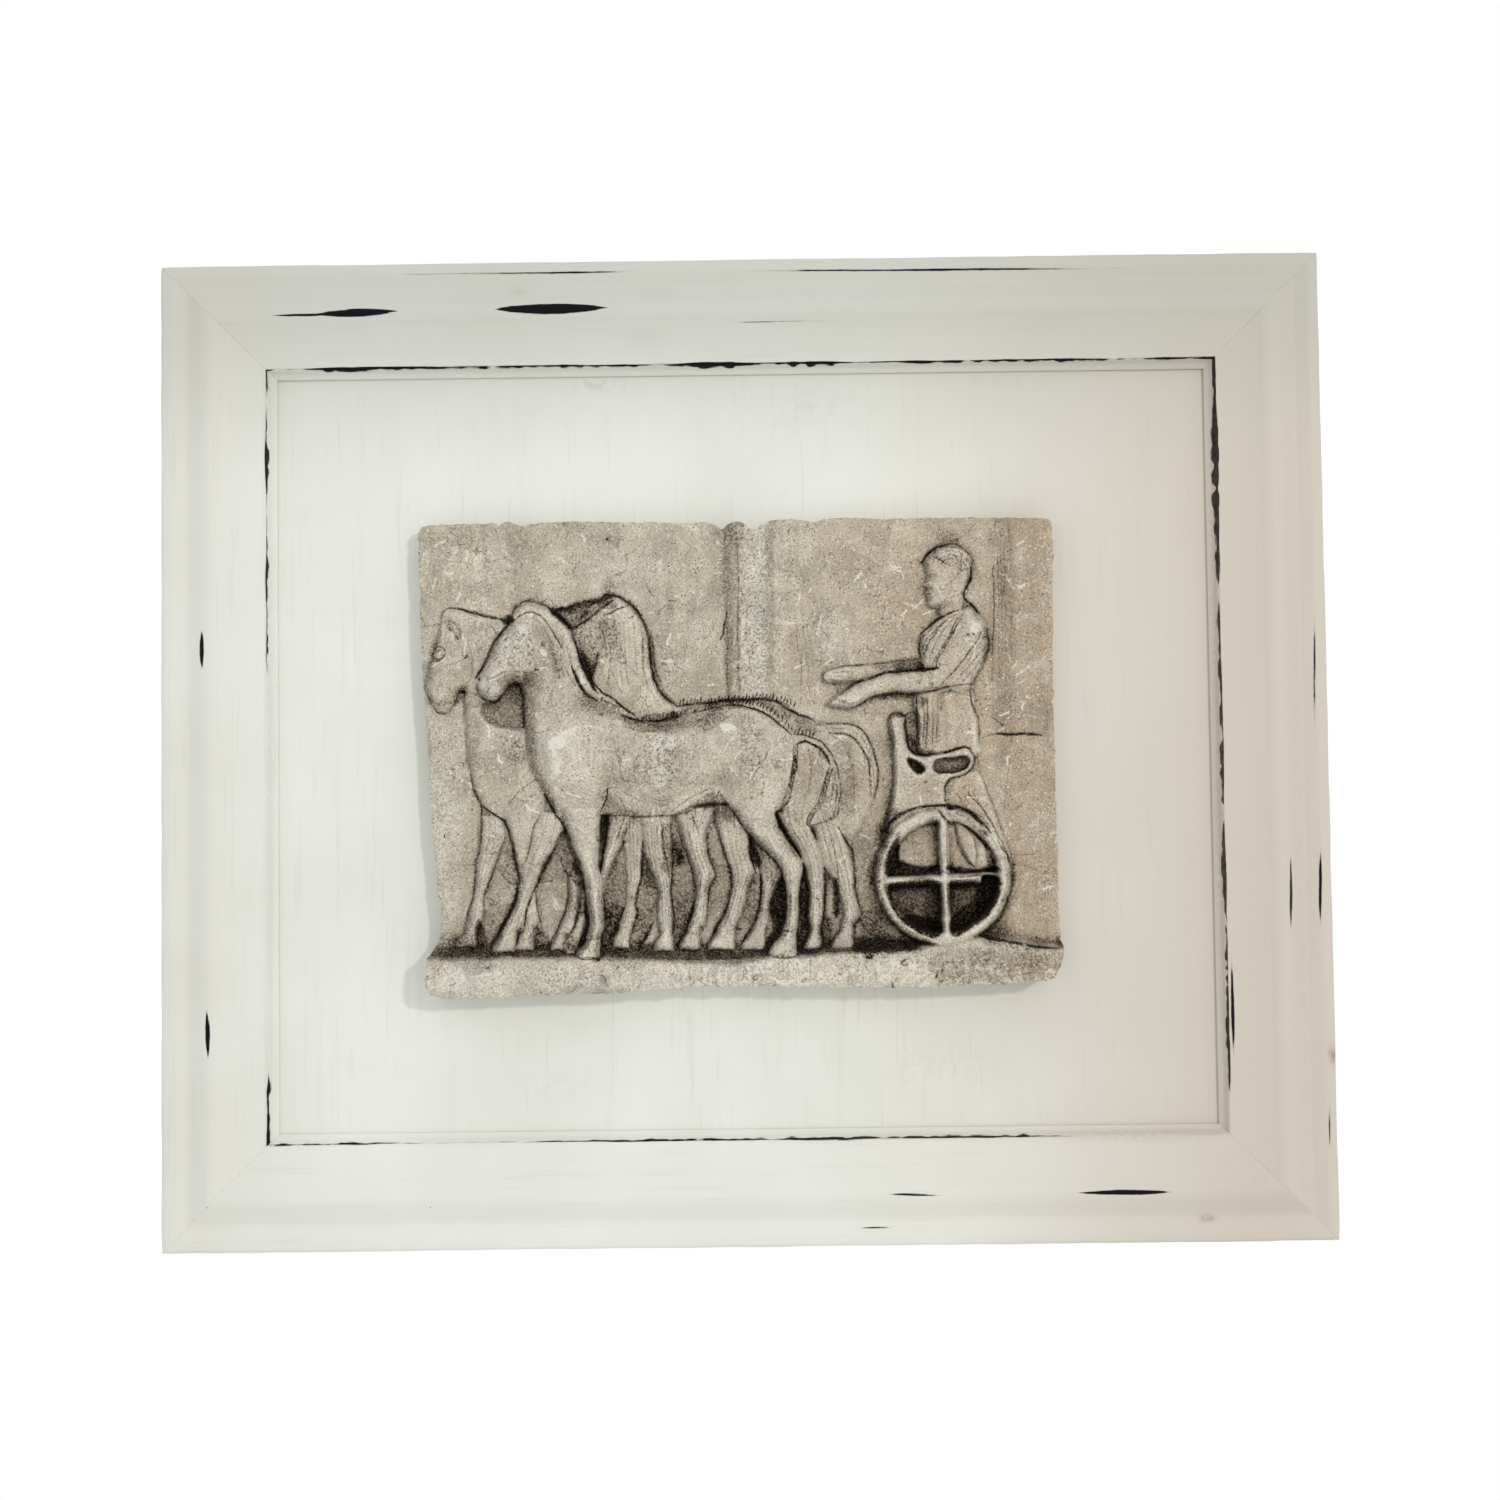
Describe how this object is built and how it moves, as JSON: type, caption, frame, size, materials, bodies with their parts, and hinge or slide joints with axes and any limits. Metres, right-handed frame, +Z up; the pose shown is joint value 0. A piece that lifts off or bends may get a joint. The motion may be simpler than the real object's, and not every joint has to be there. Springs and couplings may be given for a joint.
{
  "type": "framed relief plaque",
  "caption": "Rectangular cast plaster relief of a horse-drawn chariot, fixed to a flat painted board inside a wide moulded and mitred painted frame.",
  "frame": {"origin": "centre of the back face of the backing board, which is also the centre of the frame's back, where the piece lies against the wall", "axes": "+X to the right as the front is seen, +Y into the wall, +Z up"},
  "size_m": [0.915, 0.0543, 0.775],
  "materials": {
    "plaster": "matt cast plaster, aged warm grey-beige with a dark brown wash left in the recesses and small white chips",
    "board_paint": "flat off-white paint",
    "rail_paint": "distressed satin off-white paint, rubbed through to near-black on the raised edges"
  },
  "bodies": {
    "root": {"plaster_relief": "plaster", "backing_board": "board_paint", "rail_top": "rail_paint", "rail_bottom": "rail_paint", "rail_left": "rail_paint", "rail_right": "rail_paint"}
  },
  "joints": []
}
